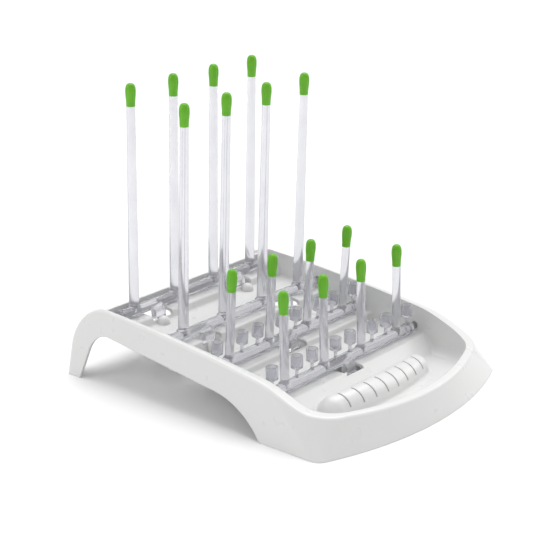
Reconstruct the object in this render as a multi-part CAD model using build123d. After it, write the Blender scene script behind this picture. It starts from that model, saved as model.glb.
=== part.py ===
from build123d import *
import math
import os

# Bottle drying rack: a moulded tray on two back feet and a bowed front, with four rows of
# drying pegs that fold forward about bars held in the side walls.
# Frame: X to the right, Y to the back, Z up, origin on the table at the middle of the tray.
# All sizes are in millimetres.

# Tray outline, seen from above at the table; its width and depth follow from the peg rows
FRONT_BOW = 29.0
CORNER_RADIUS = 12.0
CORNER_GROWTH = 1.05
SIDE_DRAFT = 0.225
FRONT_DRAFT = 0.40
WALL = 2.6

# Tray seen from the side
CREST_HEIGHT = 67.5
ROLL_RADIUS = 40.0
CREST_PITCH = 3.2
DIP_FROM_FRONT = (106.0, 82.0, 63.0, 46.0)
DIP_HEIGHTS = (50.2, 44.2, 37.0, 32.2)
DIP_START_PITCH = 7.5
FRONT_PITCH = 9.0
RIM_EDGE_RADIUS = 4.0

# Open arch under each side and under the back
FOOT_DEPTH = 18.0
FOOT_LEAN = 12.5
ARCH_BACK_HEIGHT = 46.6
ARCH_FRONT_HEIGHT = 30.0
ARCH_FALL_START = 150.0
ARCH_FALL_END = 93.0
ARCH_CORNER_RADIUS = 22.0
HEEL_RADIUS = 12.0
BACK_ARCH_HEIGHT = 38.0
BACK_ARCH_SPREAD = 50.0
BACK_ARCH_SHOULDER = 40.0
BACK_FOOT_WIDTH = 12.0
PANEL_RECESS = 3.0

# Basin inside the rim
BASIN_DRAFT = 0.08
BASIN_FRONT_GAP = 19.0
BASIN_BOW = 28.0
BASIN_FRONT_CORNER = 35.0
BASIN_BACK_CORNER = 8.0
BASIN_BACK_GAP = 8.0

# Terraces of the basin floor, back to front, and the trough in front of them
TERRACE_HEIGHTS = (51.0, 42.5, 31.0, 24.0)
TERRACE_LIP = 12.0
RISER_RUN = 2.0
TROUGH_HEIGHT = 9.5
TROUGH_SLOPE_RUN = 16.0
STEP_RADIUS = 2.5
TROUGH_RADIUS = 6.0
TUB_RADIUS = 12.0
TUB_STEP = 0.1
BASIN_EDGE_RADIUS = 2.4

# Slotted ridge in the trough
RIDGE_FROM_ROW_4 = 43.3
RIDGE_RADIUS = 15.6
RIDGE_END_RADIUS = 13.8
RIDGE_RISE = 2.0
RIDGE_HALF_LENGTH = 60.0
RIDGE_BOW = 6.1
RIDGE_FOOT_RADIUS = 3.0
SLOT_COUNT = 8
SLOT_END_GAP = 5.4
SLOT_WIDTH = 1.4
SLOT_START_ANGLE = -6.0
SLOT_END_ANGLE = 68.0

# Peg rows, back to front
ROW_1_FROM_BACK = 41.0
ROW_STEPS = (63.0, 56.0, 65.0)
ROW_4_FROM_FRONT = 107.0
ROW_LEANS = (1.5, 2.2, 3.5, -1.1)
PEG_PITCH = 55.0
PEGS_IN_ROW = 4
TALL_REACH = 218.0
SHORT_REACH = 89.0

# Bar of a row, with its hubs and journals
BAR_SIZE = 9.0
BAR_EDGE_RADIUS = 2.5
ROOT_SINK = 0.6
BAR_GAP = 2.0
BAR_END_FROM_PEG = 17.5
HUB_RADIUS = 6.0
HUB_THICKNESS = 3.0
HUB_SIDE_GAP = 7.0
JOURNAL_RADIUS = 3.5
JOURNAL_CLEARANCE = 0.1
JOURNAL_GRIP = 3.7
SOCKET_WALL = 2.4
SOCKET_END_GAP = 0.5
SOCKET_END_WALL = 2.26

# Pegs and their soft tips
PEG_TOP_RADIUS = 4.0
TALL_ROOT_RADIUS = 4.95
SHORT_ROOT_RADIUS = 4.1
ROOT_FILLET = 1.5
SPIGOT_RADIUS = 2.6
SPIGOT_LENGTH = 14.0
SPIGOT_CLEARANCE = 0.15
TIP_LENGTH = 21.0
TIP_HEAD_RADIUS = 4.8
TIP_MOUTH_RADIUS = 4.15
TIP_HEAD_HEIGHT = 14.5
TIP_FLUTE_RADIUS = 1.6
TIP_FLUTE_DEPTH = 0.55
TIP_FLUTES = 4

# Small cups between the pegs of the two front rows
CUP_FROM_PEG = 16.8
CUP_RADIUS = 5.5
CUP_BORE_RADIUS = 3.9
CUP_TOP = 24.5
CUP_HEIGHT = 11.0
CUP_FLOOR = 1.2
CUP_FLARE = 3.0
STEM_RADIUS = 1.5
STEM_ROOT_RADIUS = 2.8
STEM_ROOT_HEIGHT = 2.0

# Foot tabs under the bars, their notches in the terraces and the stop knobs beside them
TAB_FROM_PEG = 2.0
TAB_WIDTH = 13.0
TAB_FRONT = 10.5
TAB_BOTTOM = 12.0
TAB_THICKNESS = 6.0
TAB_EDGE_RADIUS = 1.2
NOTCH_SIDE_GAP = 8.5
NOTCH_REACH_GAP = 0.8
NOTCH_ROOF = 3.0
KNOB_RADIUS = 6.0
KNOB_GAP = 0.35
KNOB_DROP = 13.5
KNOB_SHIFT = 3.0

# How far the solids that cut or trim the tray run past it
OVERRUN = 10.0

# Depth and the rows' places
DEPTH = ROW_1_FROM_BACK + sum(ROW_STEPS) + ROW_4_FROM_FRONT
BACK_Y = DEPTH / 2
FRONT_Y = -DEPTH / 2
ROLL_CENTRE = (BACK_Y - ROLL_RADIUS, CREST_HEIGHT - ROLL_RADIUS)
ROW_Y = [BACK_Y - ROW_1_FROM_BACK - sum(ROW_STEPS[:row]) for row in range(4)]
AXIS_ABOVE_TERRACE = BAR_SIZE / 2 + BAR_GAP
ROW_Z = [height + AXIS_ABOVE_TERRACE for height in TERRACE_HEIGHTS]

# Width, from the pegs outwards: bar, hubs, basin, sockets and outer skin
PEG_X = [(peg - (PEGS_IN_ROW - 1) / 2) * PEG_PITCH for peg in range(PEGS_IN_ROW)]
BAR_HALF_LENGTH = PEG_X[-1] + BAR_END_FROM_PEG
BASIN_HALF_WIDTH = BAR_HALF_LENGTH + HUB_THICKNESS + HUB_SIDE_GAP
JOURNAL_END = BASIN_HALF_WIDTH + BASIN_DRAFT * ROW_Z[0] + JOURNAL_GRIP
HALF_WIDTH = JOURNAL_END + SOCKET_END_GAP + SOCKET_END_WALL + SIDE_DRAFT * ROW_Z[0]

# Other places worked out from the sizes above
RIDGE_Z = TROUGH_HEIGHT + RIDGE_RISE
SLOT_PITCH = 2 * (RIDGE_HALF_LENGTH - SLOT_END_GAP) / (SLOT_COUNT - 1)
ROW_REACH = (TALL_REACH, TALL_REACH, SHORT_REACH, SHORT_REACH)
ROW_ROOT_RADIUS = (TALL_ROOT_RADIUS, TALL_ROOT_RADIUS, SHORT_ROOT_RADIUS, SHORT_ROOT_RADIUS)
OUTER_TAB_X = PEG_PITCH + TAB_FROM_PEG
ROW_TAB_X = ((-OUTER_TAB_X, OUTER_TAB_X), (-OUTER_TAB_X, OUTER_TAB_X), (0.0,), (0.0,))
ROW_HAS_CUPS = (False, False, True, True)
ROW_HAS_KNOBS = (True, True, False, False)
TAB_REACH = math.hypot(TAB_FRONT, TAB_BOTTOM)
TOP_OF_ALL = CREST_HEIGHT + OVERRUN
BELOW_TABLE = -OVERRUN


def heading(angle):
    """Unit direction that runs forward and falls by an angle, in the side view."""
    return (-math.cos(math.radians(angle)), -math.sin(math.radians(angle)))


def plan_face(half_width, front_y, bow, front_radius, back_y, back_radius, height):
    """Outline seen from above: straight sides, a bowed front and rounded corners."""
    corner_y = front_y + bow
    edges = Polyline(
        (-half_width, corner_y), (-half_width, back_y), (half_width, back_y), (half_width, corner_y)
    )
    edges += ThreePointArc((half_width, corner_y), (0, front_y), (-half_width, corner_y))
    face = make_face(edges)
    by_depth = face.vertices().sort_by(Axis.Y)
    face = fillet(by_depth[:2], front_radius)
    if back_radius > 0:
        face = fillet(face.vertices().sort_by(Axis.Y)[-2:], back_radius)
    return Pos(0, 0, height) * face


def outer_plan(height, inset):
    """Outline of the tray's outer skin at a height, moved inwards by an inset."""
    return plan_face(
        HALF_WIDTH - SIDE_DRAFT * height - inset,
        FRONT_Y + FRONT_DRAFT * height + inset,
        FRONT_BOW,
        CORNER_RADIUS + CORNER_GROWTH * max(height, 0) - min(inset, CORNER_RADIUS / 2),
        BACK_Y + OVERRUN,
        0,
        height,
    )


def basin_half_width(height):
    """Half the basin's width at a height."""
    return BASIN_HALF_WIDTH + BASIN_DRAFT * height


def basin_plan(height, outset):
    """Outline of the basin's wall at a height, moved outwards by an outset."""
    return plan_face(
        basin_half_width(height) + outset,
        FRONT_Y + BASIN_FRONT_GAP - BASIN_DRAFT * height - outset,
        BASIN_BOW,
        BASIN_FRONT_CORNER + outset,
        ROW_Y[0] + BASIN_BACK_GAP + outset,
        0,
        height,
    )


def rim_curve(inset):
    """Top line of the tray in the side view, from the foot's back over the roll to the front."""
    centre_y, centre_z = ROLL_CENTRE
    radius = ROLL_RADIUS - inset
    middle = math.radians(45)
    crest = math.radians(CREST_PITCH)
    back = (centre_y + radius, centre_z)
    shoulder = (centre_y + radius * math.cos(middle), centre_z + radius * math.sin(middle))
    crest_point = (centre_y - radius * math.sin(crest), centre_z + radius * math.cos(crest))
    dip = [
        (FRONT_Y + distance, height - inset)
        for distance, height in zip(DIP_FROM_FRONT, DIP_HEIGHTS)
    ]
    run = DIP_FROM_FRONT[-1] + OVERRUN
    fall = run * math.tan(math.radians(FRONT_PITCH))
    front = (dip[-1][0] - run, dip[-1][1] - fall)
    curve = Curve() + ThreePointArc(back, shoulder, crest_point)
    curve += TangentArc(crest_point, dip[0], tangent=heading(CREST_PITCH))
    curve += Spline(*dip, tangents=[heading(DIP_START_PITCH), heading(FRONT_PITCH)])
    curve += Line(dip[-1], front)
    return curve, back, front


def arch_profile():
    """Side view of the open arch between the back foot and the front, down past the table."""
    foot = (BACK_Y - FOOT_DEPTH, 0)
    arch_back = (foot[0] - FOOT_LEAN, ARCH_BACK_HEIGHT)
    arch_front = (FRONT_Y + ARCH_FALL_START, ARCH_FRONT_HEIGHT)
    heel = (FRONT_Y + ARCH_FALL_END, 0)
    band = (arch_front[0] - arch_back[0], arch_front[1] - arch_back[1])
    curve = Polyline(arch_front, arch_back, foot, (foot[0], BELOW_TABLE))
    curve += Polyline((foot[0], BELOW_TABLE), (heel[0] - HEEL_RADIUS, BELOW_TABLE))
    curve += Polyline((heel[0] - HEEL_RADIUS, BELOW_TABLE), (heel[0] - HEEL_RADIUS, 0), heel)
    curve += TangentArc(arch_front, heel, tangent=band)
    face = make_face(curve)
    face = fillet(face.vertices().sort_by_distance(Vector(*arch_back, 0))[0], ARCH_CORNER_RADIUS)
    return fillet(face.vertices().sort_by_distance(Vector(*heel, 0))[0], HEEL_RADIUS / 2)


def side_profile(inset, floor):
    """Side view of the tray without its arch: the top line, moved inwards, down to a floor."""
    curve, back, front = rim_curve(inset)
    curve += Polyline(front, (front[0], floor), (back[0], floor), back)
    return make_face(curve)


def across(face, half_width):
    """Solid made by running a side view across the tray."""
    return extrude(Plane.YZ * face, amount=half_width, both=True)


def back_recess(inset):
    """Layer that is missing behind the basin, so the back panel lies below the side bands."""
    half_width = basin_half_width(CREST_HEIGHT) + inset
    layer = across(side_profile(inset, BELOW_TABLE), half_width) - across(
        side_profile(inset + PANEL_RECESS, BELOW_TABLE), half_width + OVERRUN
    )
    start = ROW_Y[0] + BASIN_BACK_GAP / 2
    reach = BACK_Y - start
    return layer & Pos(0, start + reach, CREST_HEIGHT / 2) * Box(
        4 * half_width, 2 * reach, 4 * CREST_HEIGHT
    )


def faces_up_or_back(face):
    """True for the faces that make the tray's top line in the side view, and not its bowed front."""
    normal = face.normal_at()
    return abs(normal.X) < 0.05 and normal.Z > -0.05 and normal.Y > -0.6


def runs_along_rim(edge):
    """True for edges that bound the top line at the sides and at the front."""
    off_middle = edge.bounding_box().size.X > 1 or abs(edge.center().X) > 1
    return off_middle and edge.geom_type != GeomType.LINE


def outer_skin():
    """Tray as if solid: drafted sides cut to the side view, with its long edge rounded."""
    body = loft([outer_plan(0, 0), outer_plan(TOP_OF_ALL, 0)], ruled=True)
    body = body & across(side_profile(0, 0), 2 * HALF_WIDTH)
    tops = body.faces().filter_by(faces_up_or_back)
    return fillet(tops.edges().filter_by(runs_along_rim), RIM_EDGE_RADIUS)


def under_skin():
    """Space under the outer skin, one wall thickness inside it."""
    body = loft([outer_plan(BELOW_TABLE, WALL), outer_plan(TOP_OF_ALL, WALL)], ruled=True)
    return (body & across(side_profile(WALL, BELOW_TABLE), 2 * HALF_WIDTH)) - back_recess(WALL)


def floor_profile(drop):
    """Side view of the space above the terraced floor, lowered by a drop."""
    back_y = ROW_Y[0] + 4 * BASIN_BACK_GAP
    points = [(back_y, TERRACE_HEIGHTS[0] - drop)]
    next_heights = TERRACE_HEIGHTS[1:] + (TROUGH_HEIGHT,)
    runs = (RISER_RUN, RISER_RUN, RISER_RUN, TROUGH_SLOPE_RUN)
    for y, height, lower, run in zip(ROW_Y, TERRACE_HEIGHTS, next_heights, runs):
        points.append((y - TERRACE_LIP + drop, height - drop))
        points.append((y - TERRACE_LIP + drop - run, lower - drop))
    trough_back = points[-1]
    points.append((FRONT_Y - OVERRUN, TROUGH_HEIGHT - drop))
    top = [(FRONT_Y - OVERRUN, TOP_OF_ALL), (back_y, TOP_OF_ALL)]
    face = make_face(Polyline(*points, *top, close=True))
    for point in points[1:-2]:
        corner = face.vertices().sort_by_distance(Vector(*point, 0))[0]
        face = fillet(corner, STEP_RADIUS)
    corner = face.vertices().sort_by_distance(Vector(*trough_back, 0))[0]
    return fillet(corner, TROUGH_RADIUS)


def basin_space(outset):
    """Space of the basin with rounded lower edges, or with an outset the same space larger."""
    bottom = TROUGH_HEIGHT - TUB_STEP - outset
    tub = loft([basin_plan(bottom, outset), basin_plan(TOP_OF_ALL, outset)], ruled=True)
    low_edges = tub.faces().sort_by(Axis.Z)[0].edges().sort_by(Axis.Y)
    tub = fillet(low_edges[:-1], TUB_RADIUS + outset)
    space = tub & across(floor_profile(outset), 2 * HALF_WIDTH)
    back_corners = space.faces().sort_by(Axis.Y)[-1].edges().sort_by(Axis.X)
    return fillet([back_corners[0], back_corners[-1]], BASIN_BACK_CORNER + outset)


def ridge_radius(x):
    """Radius of the ridge's section, which falls towards its ends."""
    return RIDGE_RADIUS - (RIDGE_RADIUS - RIDGE_END_RADIUS) * (x / RIDGE_HALF_LENGTH) ** 2


def ridge_y(x):
    """Middle of the ridge in depth, bowed like the front."""
    return ROW_Y[3] - RIDGE_FROM_ROW_4 + RIDGE_BOW * (x / RIDGE_HALF_LENGTH) ** 2


def ridge_core(shrink, half_length):
    """Round bar that follows the bowed front and is thinner at its ends."""
    sections = []
    for step in range(-2, 3):
        x = step / 2 * half_length
        plane = Plane((x, ridge_y(x), RIDGE_Z), x_dir=(0, 1, 0), z_dir=(1, 0, 0))
        sections.append(plane * Circle(ridge_radius(x) - shrink))
    return loft(sections)


def ridge():
    """The same bar with domed ends, down to the trough floor."""
    body = ridge_core(0, RIDGE_HALF_LENGTH)
    for x in (-RIDGE_HALF_LENGTH, RIDGE_HALF_LENGTH):
        body += Pos(x, ridge_y(x), RIDGE_Z) * Sphere(RIDGE_END_RADIUS)
    return body


def ridge_slots():
    """Thin arched cuts over the ridge's front half, which let water through."""
    slots = []
    start = math.radians(SLOT_START_ANGLE)
    end = math.radians(SLOT_END_ANGLE)
    for number in range(SLOT_COUNT):
        x = (number - (SLOT_COUNT - 1) / 2) * SLOT_PITCH
        reach = 2 * RIDGE_RADIUS
        edges = Polyline(
            (-reach * math.sin(start), reach * math.cos(start)),
            (0, 0),
            (-reach * math.sin(end), reach * math.cos(end)),
            close=True,
        )
        sector = extrude(Plane.YZ * make_face(edges), amount=SLOT_WIDTH / 2, both=True)
        core = Rot(0, 90, 0) * Cylinder(ridge_radius(x) - 2 * WALL, 2 * SLOT_WIDTH)
        slots.append(Pos(x, ridge_y(x), RIDGE_Z) * (sector - core))
    return slots


def runs_beside_terrace(edge):
    """True for the edges where the terraces meet the basin's wall."""
    centre = edge.center()
    lowest = TERRACE_HEIGHTS[3] - RISER_RUN
    on_floor = lowest < centre.Z < TERRACE_HEIGHTS[0] + RISER_RUN
    in_front = centre.Y < ROW_Y[3] - TERRACE_LIP
    upright = edge.bounding_box().max.Z > CREST_HEIGHT
    return on_floor and not in_front and not upright and edge.geom_type != GeomType.LINE


def runs_round_ridge(edge):
    """True for the edges where the ridge meets the trough."""
    centre = edge.center()
    beside = abs(centre.X) < RIDGE_HALF_LENGTH + RIDGE_END_RADIUS
    near = abs(centre.Y - ridge_y(centre.X)) < RIDGE_RADIUS + WALL
    return beside and near and edge.bounding_box().max.Z < RIDGE_Z + WALL


def open_space():
    """Space above the tray's inner surface: the basin less the ridge, with soft foot edges."""
    basin = basin_space(0)
    basin = fillet(basin.edges().filter_by(runs_beside_terrace), BASIN_EDGE_RADIUS)
    basin = basin - ridge()
    return fillet(basin.edges().filter_by(runs_round_ridge), RIDGE_FOOT_RADIUS)


def notch(row, x):
    """Cut for a foot tab: a drum about the row's axis, only below the bar."""
    drum = Cylinder(TAB_REACH + NOTCH_REACH_GAP, TAB_WIDTH + 2 * NOTCH_SIDE_GAP)
    reach = TAB_REACH + NOTCH_REACH_GAP
    below = Pos(0, 0, -NOTCH_ROOF) * Box(
        2 * TAB_WIDTH, 3 * reach, 2 * reach, align=(Align.CENTER, Align.CENTER, Align.MAX)
    )
    return Pos(x, ROW_Y[row], ROW_Z[row]) * ((Rot(0, 90, 0) * drum) & below)


def knob(row, x):
    """Domed stop on the next terrace, just in front of a foot tab and a little outside it."""
    side_gap = KNOB_RADIUS + KNOB_GAP
    drop = KNOB_DROP - TAB_BOTTOM
    ahead = TAB_FRONT + math.sqrt(side_gap**2 - drop**2)
    base = TERRACE_HEIGHTS[row + 1] - WALL / 2
    top = ROW_Z[row] - KNOB_DROP
    post = Cylinder(KNOB_RADIUS, top - base, align=(Align.CENTER, Align.CENTER, Align.MIN))
    dome = Sphere(KNOB_RADIUS)
    place_x = x + math.copysign(KNOB_SHIFT, x)
    return Pos(place_x, ROW_Y[row] - ahead, base) * (post + Pos(0, 0, top - base) * dome)


def socket_boss(row, side):
    """Boss behind the basin wall that holds a journal."""
    start = basin_half_width(ROW_Z[row]) + WALL / 2
    end = JOURNAL_END + SOCKET_END_GAP + SOCKET_END_WALL
    boss = Cylinder(JOURNAL_RADIUS + JOURNAL_CLEARANCE + SOCKET_WALL, end - start)
    return Pos(side * (start + end) / 2, ROW_Y[row], ROW_Z[row]) * (Rot(0, 90, 0) * boss)


def socket_bore(row, side):
    """Blind bore of a socket, open to the basin."""
    start = basin_half_width(ROW_Z[row]) - WALL
    end = JOURNAL_END + SOCKET_END_GAP
    bore = Cylinder(JOURNAL_RADIUS + JOURNAL_CLEARANCE, end - start)
    return Pos(side * (start + end) / 2, ROW_Y[row], ROW_Z[row]) * (Rot(0, 90, 0) * bore)


def back_arch():
    """Opening under the back panel, with curved shoulders down to the feet."""
    foot_x = HALF_WIDTH - BACK_FOOT_WIDTH
    top_x = foot_x - BACK_ARCH_SPREAD
    shoulder = math.radians(BACK_ARCH_SHOULDER)
    edges = Polyline((-foot_x, BELOW_TABLE), (foot_x, BELOW_TABLE), (foot_x, 0))
    for side in (1, -1):
        middle = (
            side * (foot_x - BACK_ARCH_SPREAD * (1 - math.cos(shoulder))),
            BACK_ARCH_HEIGHT * math.sin(shoulder),
        )
        ends = [(side * foot_x, 0), (side * top_x, BACK_ARCH_HEIGHT)]
        edges += ThreePointArc(ends[0], middle, ends[1])
    edges += Line((top_x, BACK_ARCH_HEIGHT), (-top_x, BACK_ARCH_HEIGHT))
    edges += Line((-foot_x, 0), (-foot_x, BELOW_TABLE))
    face = make_face(edges)
    start = BACK_Y - FOOT_DEPTH - OVERRUN
    return Pos(0, start, 0) * extrude(Plane.XZ * face, amount=-(BACK_Y - start + OVERRUN))


def all_knobs():
    """The stops of the two back rows."""
    rows = [row for row in range(4) if ROW_HAS_KNOBS[row]]
    return [knob(row, x) for row in rows for x in ROW_TAB_X[row]]


def trough_zone():
    """Everything in front of the terraces, where the ridge is hollow from below."""
    back_y = ROW_Y[3] - TERRACE_LIP - TROUGH_SLOPE_RUN / 2
    return Pos(0, back_y, 0) * Box(
        4 * HALF_WIDTH, DEPTH, 2 * TOP_OF_ALL, align=(Align.CENTER, Align.MAX, Align.CENTER)
    )


def make_tray():
    """The whole moulded tray: outer skin, basin with terraces, ridge, sockets and knobs."""
    knobs = all_knobs()
    sockets = [(row, side) for row in range(4) for side in (-1, 1)]
    notches = [notch(row, x) - knobs for row in range(4) for x in ROW_TAB_X[row]]
    bosses = [socket_boss(row, side) for row, side in sockets]
    bores = [socket_bore(row, side) for row, side in sockets]
    space = open_space() - knobs
    shell = [basin_space(WALL)] + bosses
    hollow = under_skin() - shell
    arch = across(arch_profile(), 2 * HALF_WIDTH) - shell
    tray = outer_skin() - [back_recess(0), back_arch()]
    tray = tray - [hollow, arch]
    tray = tray - space
    tray = tray - (ridge_core(WALL, RIDGE_HALF_LENGTH + WALL) & trough_zone())
    return tray - (ridge_slots() + bores + notches)


def tapered(start, end):
    """Side line of a slender taper in an outline that is turned about its axis."""
    return Bezier(start, end)


def make_peg(x, reach, root_radius):
    """One tapered peg, standing on the bar, with the spigot that carries its tip."""
    shoulder = reach - TIP_LENGTH
    root = BAR_SIZE / 2
    flare = (root_radius + ROOT_FILLET, root - ROOT_SINK)
    foot = (root_radius, root + ROOT_FILLET)
    top = (PEG_TOP_RADIUS, shoulder)
    outline = Polyline((0, 0), (flare[0], 0), flare) + tapered(flare, foot) + tapered(foot, top)
    outline += Polyline(
        top,
        (SPIGOT_RADIUS, shoulder),
        (SPIGOT_RADIUS, shoulder + SPIGOT_LENGTH),
        (0, shoulder + SPIGOT_LENGTH),
        (0, 0),
    )
    return Pos(x, 0, 0) * revolve(Plane.XZ * make_face(outline), Axis.Z)


def make_cup(x):
    """Small open cup on a stem, for teats and caps."""
    bottom = CUP_TOP - CUP_HEIGHT
    root = BAR_SIZE / 2
    flare = (STEM_ROOT_RADIUS, root - ROOT_SINK)
    stem = [(STEM_RADIUS, root + STEM_ROOT_HEIGHT), (STEM_RADIUS, bottom - CUP_FLARE)]
    cup_foot = (CUP_RADIUS, bottom)
    outline = Polyline((0, 0), (flare[0], 0), flare) + tapered(flare, stem[0])
    outline += Line(*stem) + tapered(stem[1], cup_foot)
    outline += Polyline(
        cup_foot,
        (CUP_RADIUS, CUP_TOP),
        (CUP_BORE_RADIUS, CUP_TOP),
        (CUP_BORE_RADIUS, bottom + CUP_FLOOR),
        (0, bottom + CUP_FLOOR),
        (0, 0),
    )
    return Pos(x, 0, 0) * revolve(Plane.XZ * make_face(outline), Axis.Z)


def make_tab(x):
    """Foot tab that hangs forward and down from the bar."""
    half = BAR_SIZE / 2
    outline = Polyline(
        (0, half - BAR_EDGE_RADIUS),
        (-half, half - BAR_EDGE_RADIUS),
        (-TAB_FRONT, -half),
        (-TAB_FRONT, -TAB_BOTTOM),
        (-TAB_FRONT + TAB_THICKNESS, -TAB_BOTTOM),
        (-TAB_FRONT + TAB_THICKNESS + 1, -half),
        (0, -half),
        close=True,
    )
    face = make_face(outline)
    low = face.vertices().sort_by(Axis.Y)[:2]
    face = fillet(low, TAB_EDGE_RADIUS)
    return Pos(x, 0, 0) * across(face, TAB_WIDTH / 2)


def make_comb(row):
    """One row: bar, hubs, journals, pegs, cups and foot tabs moulded in one piece."""
    bar = extrude(
        Plane.YZ * RectangleRounded(BAR_SIZE, BAR_SIZE, BAR_EDGE_RADIUS),
        amount=BAR_HALF_LENGTH,
        both=True,
    )
    shaft = Rot(0, 90, 0) * Cylinder(JOURNAL_RADIUS, 2 * JOURNAL_END)
    comb = bar + shaft
    for side in (-1, 1):
        hub = Rot(0, 90, 0) * Cylinder(HUB_RADIUS, HUB_THICKNESS)
        comb = comb + Pos(side * (BAR_HALF_LENGTH + HUB_THICKNESS / 2), 0, 0) * hub
    for x in PEG_X:
        comb = comb + make_peg(x, ROW_REACH[row], ROW_ROOT_RADIUS[row])
        if ROW_HAS_CUPS[row]:
            comb = comb + make_cup(x - CUP_FROM_PEG) + make_cup(x + CUP_FROM_PEG)
    for x in ROW_TAB_X[row]:
        comb = comb + make_tab(x)
    return comb


def make_tip(x, reach):
    """Soft push-on tip: a sleeve that widens to a domed head, with upright flutes for air."""
    shoulder = reach - TIP_LENGTH
    bore = SPIGOT_RADIUS + SPIGOT_CLEARANCE
    bore_top = shoulder + SPIGOT_LENGTH + SPIGOT_CLEARANCE
    head = shoulder + TIP_HEAD_HEIGHT
    outline = Line((bore, shoulder), (TIP_MOUTH_RADIUS, shoulder))
    outline += Spline(
        (TIP_MOUTH_RADIUS, shoulder),
        (TIP_HEAD_RADIUS, head),
        (0, reach),
        tangents=[(0, 1), (-1, 0)],
    )
    outline += Polyline((0, reach), (0, bore_top), (bore, bore_top), (bore, shoulder))
    tip = revolve(Plane.XZ * make_face(outline), Axis.Z)
    flute = Cylinder(TIP_FLUTE_RADIUS, 2 * TIP_LENGTH)
    place_out = TIP_HEAD_RADIUS + TIP_FLUTE_RADIUS - TIP_FLUTE_DEPTH
    tip = tip - (Pos(0, 0, head) * PolarLocations(place_out, TIP_FLUTES) * flute)
    return Pos(x, 0, 0) * tip


def place(row, shape):
    """Put a row's piece at its axis, with the row's lean."""
    return Pos(0, ROW_Y[row], ROW_Z[row]) * Rot(ROW_LEANS[row], 0, 0) * shape


def main():
    os.makedirs("parts", exist_ok=True)
    export_step(make_tray(), "parts/tray.step")
    for row in range(4):
        export_step(place(row, make_comb(row)), f"parts/peg_row_{row + 1}.step")
        for number, x in enumerate(PEG_X):
            name = f"tip_{row + 1}_{number + 1}"
            export_step(place(row, make_tip(x, ROW_REACH[row])), f"parts/{name}.step")


main()
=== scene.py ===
import math

import bmesh
import bpy
from mathutils import Matrix, Vector

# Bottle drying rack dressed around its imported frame: a gloss white tray, milky clear peg rows and
# soft green tips, on a white studio floor. All sizes are in metres.

ROWS = 4
PEGS_IN_ROW = 4

# The photograph's camera
CAMERA_AZIMUTH = math.radians(-49.8)
CAMERA_ELEVATION = math.radians(19.3)
CAMERA_ROLL = math.radians(-0.24)
CAMERA_PLACE = Vector((-1.0281, -0.8474, 0.5653))
LENS = 100.5
SENSOR_WIDTH = 36.0
CLIP_END = 40

# Studio
WHITE = (1, 1, 1, 1)
WORLD_LIGHT = 0.62
FLOOR_WHITE = (0.93, 0.93, 0.93, 1)
FLOOR_ROUGHNESS = 0.7
FLOOR_HALF_SIZE = 12.0

# Lamps: a sun's size is its angle, a softbox's its side
SUN_PLACE = (0.35, 0.25, 1.0)
SUN_TARGET = (0, 0, 0)
SUN_ENERGY = 1.75
SUN_ANGLE = math.radians(50)
SOFTBOX_TARGET = (0, 0, 0.05)
RIGHT_PLACE = (1.3, -0.5, 0.9)
RIGHT_ENERGY = 5.0
RIGHT_SIDE = 0.9
LEFT_PLACE = (-1.1, 0.7, 0.9)
LEFT_ENERGY = 3.0
LEFT_SIDE = 0.7

# White moulded plastic of the tray; a scale is the number of a pattern's features in a metre
TRAY_WHITE = (0.76, 0.76, 0.752, 1)
TRAY_SHADE = (0.735, 0.738, 0.735, 1)
TRAY_MOTTLE_SCALE = 16.0
TRAY_ROUGHNESS = 0.24
TRAY_ROUGHNESS_SPREAD = 0.10
TRAY_ROUGHNESS_SCALE = 60.0
TRAY_EDGE_RADIUS = 0.0014
TRAY_EDGE_SAMPLES = 6
TRAY_SKIN_SCALE = 700.0
TRAY_SKIN_STRENGTH = 0.05
TRAY_SKIN_DEPTH = 0.0002

# Milky clear plastic of the peg rows
PEG_CLEAR = (0.90, 0.90, 0.93, 1)
PEG_MILKY = (0.74, 0.74, 0.79, 1)
PEG_HAZE_SCALE = 55.0
PEG_ROUGHNESS = 0.12
PEG_ROUGHNESS_SPREAD = 0.10

# Soft green tips
TIP_GREEN = (0.150, 0.50, 0.004, 1)
TIP_DEEP = (0.095, 0.38, 0.002, 1)
TIP_TONE_SCALE = 140.0
TIP_ROUGHNESS = 0.30
TIP_ROUGHNESS_SPREAD = 0.12


class Signal:
    """One output in a material, so that shader maths reads as a Python expression."""

    def __init__(self, finish, socket):
        self.finish = finish
        self.socket = socket

    def combine(self, operation, first, second):
        return self.finish.add("ShaderNodeMath", {"operation": operation}, {0: first, 1: second})

    def __add__(self, other):
        return self.combine("ADD", self, other)

    def __radd__(self, other):
        return self.combine("ADD", other, self)

    def __mul__(self, other):
        return self.combine("MULTIPLY", self, other)

    def __rmul__(self, other):
        return self.combine("MULTIPLY", other, self)


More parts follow.
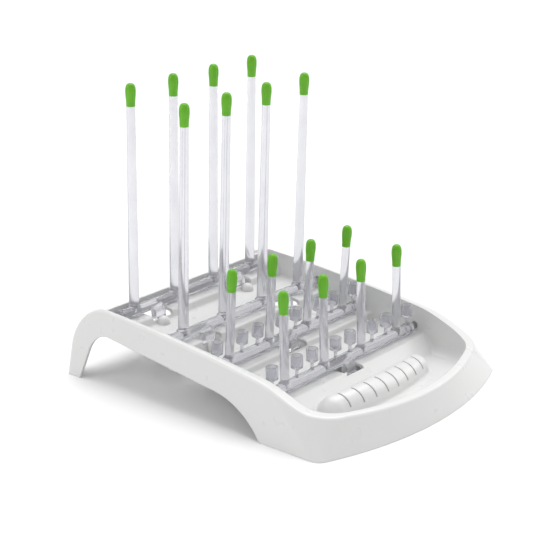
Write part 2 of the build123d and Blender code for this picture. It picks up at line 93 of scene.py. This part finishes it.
class Finish:
    """A procedural material around one Principled shader."""

    def __init__(self, name, **constants):
        self.material = bpy.data.materials.new(name)
        self.material.use_nodes = True
        self.tree = self.material.node_tree
        self.shader = self.tree.nodes["Principled BSDF"]
        self.place = self.add("ShaderNodeTexCoord", output="Object")
        for socket, value in constants.items():
            self.shader.inputs[socket.replace("_", " ")].default_value = value

    def add(self, kind, settings=None, inputs=None, output=0):
        """Add a node: its settings first, then the values or links of its sockets."""
        node = self.tree.nodes.new(kind)
        for setting, value in (settings or {}).items():
            setattr(node, setting, value)
        for socket, value in (inputs or {}).items():
            if isinstance(value, Signal):
                self.tree.links.new(value.socket, node.inputs[socket])
            else:
                node.inputs[socket].default_value = value
        return Signal(self, node.outputs[output])

    def feed(self, socket, signal):
        """Link a signal to one of the shader's own sockets."""
        self.tree.links.new(signal.socket, self.shader.inputs[socket])

    def noise(self, scale):
        """Noise between 0 and 1 on the piece's own coordinates."""
        inputs = {"Vector": self.place, "Scale": scale, "Detail": 2.0, "Roughness": 0.5}
        return self.add("ShaderNodeTexNoise", None, inputs)

    def blend(self, share, first, second):
        """Colour between two colours, by a share from 0 to 1."""
        inputs = {0: share, 6: first, 7: second}
        return self.add("ShaderNodeMix", {"data_type": "RGBA"}, inputs, output=2)


def white_plastic():
    """Gloss white moulding: soft edges, a faint mottle and a fine moulded skin."""
    finish = Finish("white tray", Coat_Weight=0.25, Coat_Roughness=0.10, Specular_IOR_Level=0.45)
    mottle = finish.noise(TRAY_MOTTLE_SCALE)
    finish.feed("Base Color", finish.blend(mottle, TRAY_SHADE, TRAY_WHITE))
    gloss = finish.noise(TRAY_ROUGHNESS_SCALE)
    finish.feed("Roughness", TRAY_ROUGHNESS + TRAY_ROUGHNESS_SPREAD * gloss)
    soft_edge = finish.add(
        "ShaderNodeBevel", {"samples": TRAY_EDGE_SAMPLES}, {"Radius": TRAY_EDGE_RADIUS}
    )
    skin = finish.add(
        "ShaderNodeBump",
        None,
        {
            "Strength": TRAY_SKIN_STRENGTH,
            "Distance": TRAY_SKIN_DEPTH,
            "Height": finish.noise(TRAY_SKIN_SCALE),
            "Normal": soft_edge,
        },
    )
    finish.feed("Normal", skin)
    return finish.material


def clear_plastic():
    """Milky clear moulding of the peg rows, rougher where it is hazier."""
    finish = Finish(
        "milky pegs", Transmission_Weight=0.85, IOR=1.46, Coat_Weight=0.0, Specular_IOR_Level=0.5
    )
    haze = finish.noise(PEG_HAZE_SCALE)
    finish.feed("Base Color", finish.blend(haze, PEG_MILKY, PEG_CLEAR))
    finish.feed("Roughness", PEG_ROUGHNESS + PEG_ROUGHNESS_SPREAD * haze)
    return finish.material


def green_rubber():
    """Soft satin green of the tips, faintly mottled between two greens."""
    finish = Finish("green tips", Subsurface_Weight=0.12, Subsurface_Scale=0.002)
    tone = finish.noise(TIP_TONE_SCALE)
    finish.feed("Base Color", finish.blend(tone, TIP_DEEP, TIP_GREEN))
    finish.feed("Roughness", TIP_ROUGHNESS + TIP_ROUGHNESS_SPREAD * tone)
    return finish.material


def dress(piece, material):
    """Give a piece one material."""
    piece.data.materials.clear()
    piece.data.materials.append(material)


def set_up_camera():
    """Camera at the photograph's place, looking along its measured direction."""
    data = bpy.data.cameras.new("camera")
    data.lens = LENS
    data.sensor_width = SENSOR_WIDTH
    data.clip_end = CLIP_END
    camera = bpy.data.objects.new("camera", data)
    turn = Matrix.Rotation(CAMERA_AZIMUTH, 4, "Z")
    turn = turn @ Matrix.Rotation(math.pi / 2 - CAMERA_ELEVATION, 4, "X")
    turn = turn @ Matrix.Rotation(CAMERA_ROLL, 4, "Z")
    camera.matrix_world = Matrix.Translation(CAMERA_PLACE) @ turn
    bpy.context.scene.collection.objects.link(camera)
    bpy.context.scene.camera = camera


def add_lamp(name, kind, place, target, energy, size):
    """Soft light at a place, facing a target; a sun's size is its angle, a softbox's its side."""
    data = bpy.data.lights.new(name, kind)
    data.energy = energy
    if kind == "SUN":
        data.angle = size
    else:
        data.shape = "SQUARE"
        data.size = size
    lamp = bpy.data.objects.new(name, data)
    direction = Vector(target) - Vector(place)
    turn = direction.to_track_quat("-Z", "Y").to_matrix().to_4x4()
    lamp.matrix_world = Matrix.Translation(place) @ turn
    bpy.context.scene.collection.objects.link(lamp)


def set_up_surroundings():
    """Even white light from all round."""
    world = bpy.data.worlds.new("studio")
    bpy.context.scene.world = world
    world.use_nodes = True
    background = world.node_tree.nodes["Background"]
    background.inputs["Color"].default_value = WHITE
    background.inputs["Strength"].default_value = WORLD_LIGHT


def lay_floor():
    """White floor under the rack."""
    mesh = bmesh.new()
    bmesh.ops.create_grid(mesh, x_segments=1, y_segments=1, size=FLOOR_HALF_SIZE)
    data = bpy.data.meshes.new("floor")
    mesh.to_mesh(data)
    mesh.free()
    floor = bpy.data.objects.new("floor", data)
    bpy.context.scene.collection.objects.link(floor)
    paper = Finish("floor", Base_Color=FLOOR_WHITE, Roughness=FLOOR_ROUGHNESS)
    dress(floor, paper.material)


def set_up_studio():
    """White floor and surroundings, a broad top light and two softboxes."""
    set_up_surroundings()
    lay_floor()
    add_lamp("top light", "SUN", SUN_PLACE, SUN_TARGET, SUN_ENERGY, SUN_ANGLE)
    add_lamp("right softbox", "AREA", RIGHT_PLACE, SOFTBOX_TARGET, RIGHT_ENERGY, RIGHT_SIDE)
    add_lamp("left softbox", "AREA", LEFT_PLACE, SOFTBOX_TARGET, LEFT_ENERGY, LEFT_SIDE)
    bpy.context.scene.view_settings.view_transform = "Standard"


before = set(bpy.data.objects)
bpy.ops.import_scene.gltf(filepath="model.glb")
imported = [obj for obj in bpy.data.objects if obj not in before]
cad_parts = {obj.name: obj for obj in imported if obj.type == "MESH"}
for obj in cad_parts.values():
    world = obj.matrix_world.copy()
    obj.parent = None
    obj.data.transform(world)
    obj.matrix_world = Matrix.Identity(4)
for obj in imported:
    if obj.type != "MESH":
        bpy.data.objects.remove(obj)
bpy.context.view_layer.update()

tray_finish = white_plastic()
peg_finish = clear_plastic()
tip_finish = green_rubber()

dress(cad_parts["tray"], tray_finish)
for row in range(1, ROWS + 1):
    dress(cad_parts[f"peg_row_{row}"], peg_finish)
    for peg in range(1, PEGS_IN_ROW + 1):
        dress(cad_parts[f"tip_{row}_{peg}"], tip_finish)

set_up_camera()
set_up_studio()
